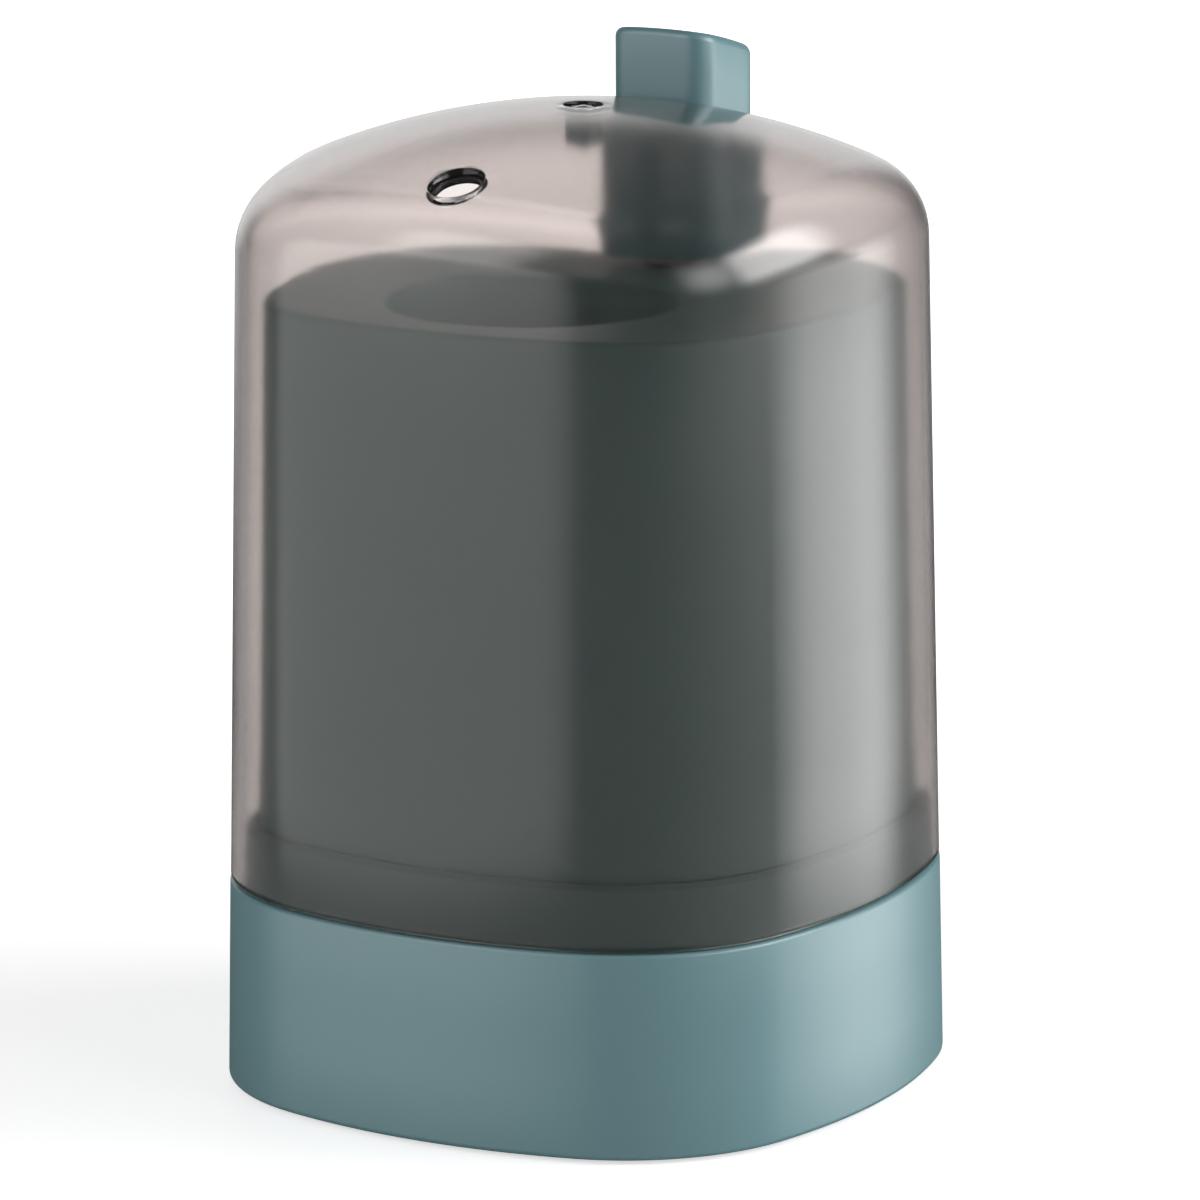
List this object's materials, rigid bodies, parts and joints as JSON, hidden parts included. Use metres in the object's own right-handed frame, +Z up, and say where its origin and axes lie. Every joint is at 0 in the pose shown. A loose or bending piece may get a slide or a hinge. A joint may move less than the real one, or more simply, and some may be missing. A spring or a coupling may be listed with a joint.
{
  "type": "toothpick dispenser",
  "caption": "Press-knob toothpick dispenser: lift-off smoky domed cover with an outlet, container with a round well, and a lever in the base that lifts one pick.",
  "frame": {"origin": "centre of the footprint, on the table", "axes": "+Z up; -Y is the front with the outlet, +Y the back with the knob; +X to the right seen from the front"},
  "size_m": [0.072, 0.072, 0.1106],
  "materials": {
    "teal_plastic": "satin moulded, dusty grey-teal",
    "smoky_plastic": "frosted translucent smoke, smooth outside",
    "black_plastic": "polished black",
    "white_nylon": "natural nylon",
    "zinc_steel": "zinc plated",
    "polished_steel": "polished stainless",
    "spring_steel": "drawn wire",
    "foot_rubber": "matt"
  },
  "bodies": {
    "base": {"base_shell": "teal_plastic", "base_plate": "teal_plastic", "base_screws": "zinc_steel", "foot_front_left": "foot_rubber", "foot_back_left": "foot_rubber", "foot_front_right": "foot_rubber", "foot_back_right": "foot_rubber", "container": "teal_plastic", "container_screws": "zinc_steel", "well_floor": "teal_plastic", "rod_bush": "white_nylon", "lifter_bush": "white_nylon", "lever_bracket": "white_nylon", "bracket_screws": "zinc_steel", "pivot_pin": "polished_steel", "pivot_clip": "spring_steel", "rod_spring": "spring_steel"},
    "cover": {"cover": "smoky_plastic", "outlet_ring": "black_plastic", "top_screw": "polished_steel", "knob_bracket": "black_plastic", "knob_spring": "spring_steel"},
    "knob": {"knob": "teal_plastic", "knob_stem": "polished_steel"},
    "push_rod": {"push_rod": "polished_steel", "rod_cap": "white_nylon", "rod_pin": "polished_steel"},
    "lever": {"lever": "white_nylon"},
    "lifter": {"lifter": "white_nylon", "lifter_cup": "white_nylon", "lifter_pin": "polished_steel"}
  },
  "joints": [
    {"name": "cover_lift", "type": "slide", "parent": "base", "child": "cover", "axis": [0, 0, 1], "range_m": [0, 0.09]},
    {"name": "knob_press", "type": "slide", "parent": "cover", "child": "knob", "axis": [0, 0, -1], "range_m": [0, 0.005], "stiffness_N_per_m": 350, "springref_m": -0.004, "deforming": ["knob_spring"]},
    {"name": "rod_slide", "type": "slide", "parent": "base", "child": "push_rod", "axis": [0, 0, -1], "range_m": [0, 0.005], "stiffness_N_per_m": 250, "springref_m": -0.004, "deforming": ["rod_spring"]},
    {"name": "lever_swing", "type": "hinge", "parent": "base", "child": "lever", "pos_m": [0, 0.00926, 0.0113], "axis": [-1, 0, 0], "range_deg": [0, 22.9]},
    {"name": "lifter_slide", "type": "slide", "parent": "base", "child": "lifter", "axis": [0, 0, 1], "range_m": [0, 0.0125]}
  ],
  "couplings": [
    {"joint": "rod_slide", "follows": "knob_press", "ratio": 1},
    {"joint": "lever_swing", "follows": "knob_press", "rad_per_m": 79.937},
    {"joint": "lifter_slide", "follows": "knob_press", "ratio": 2.5}
  ]
}
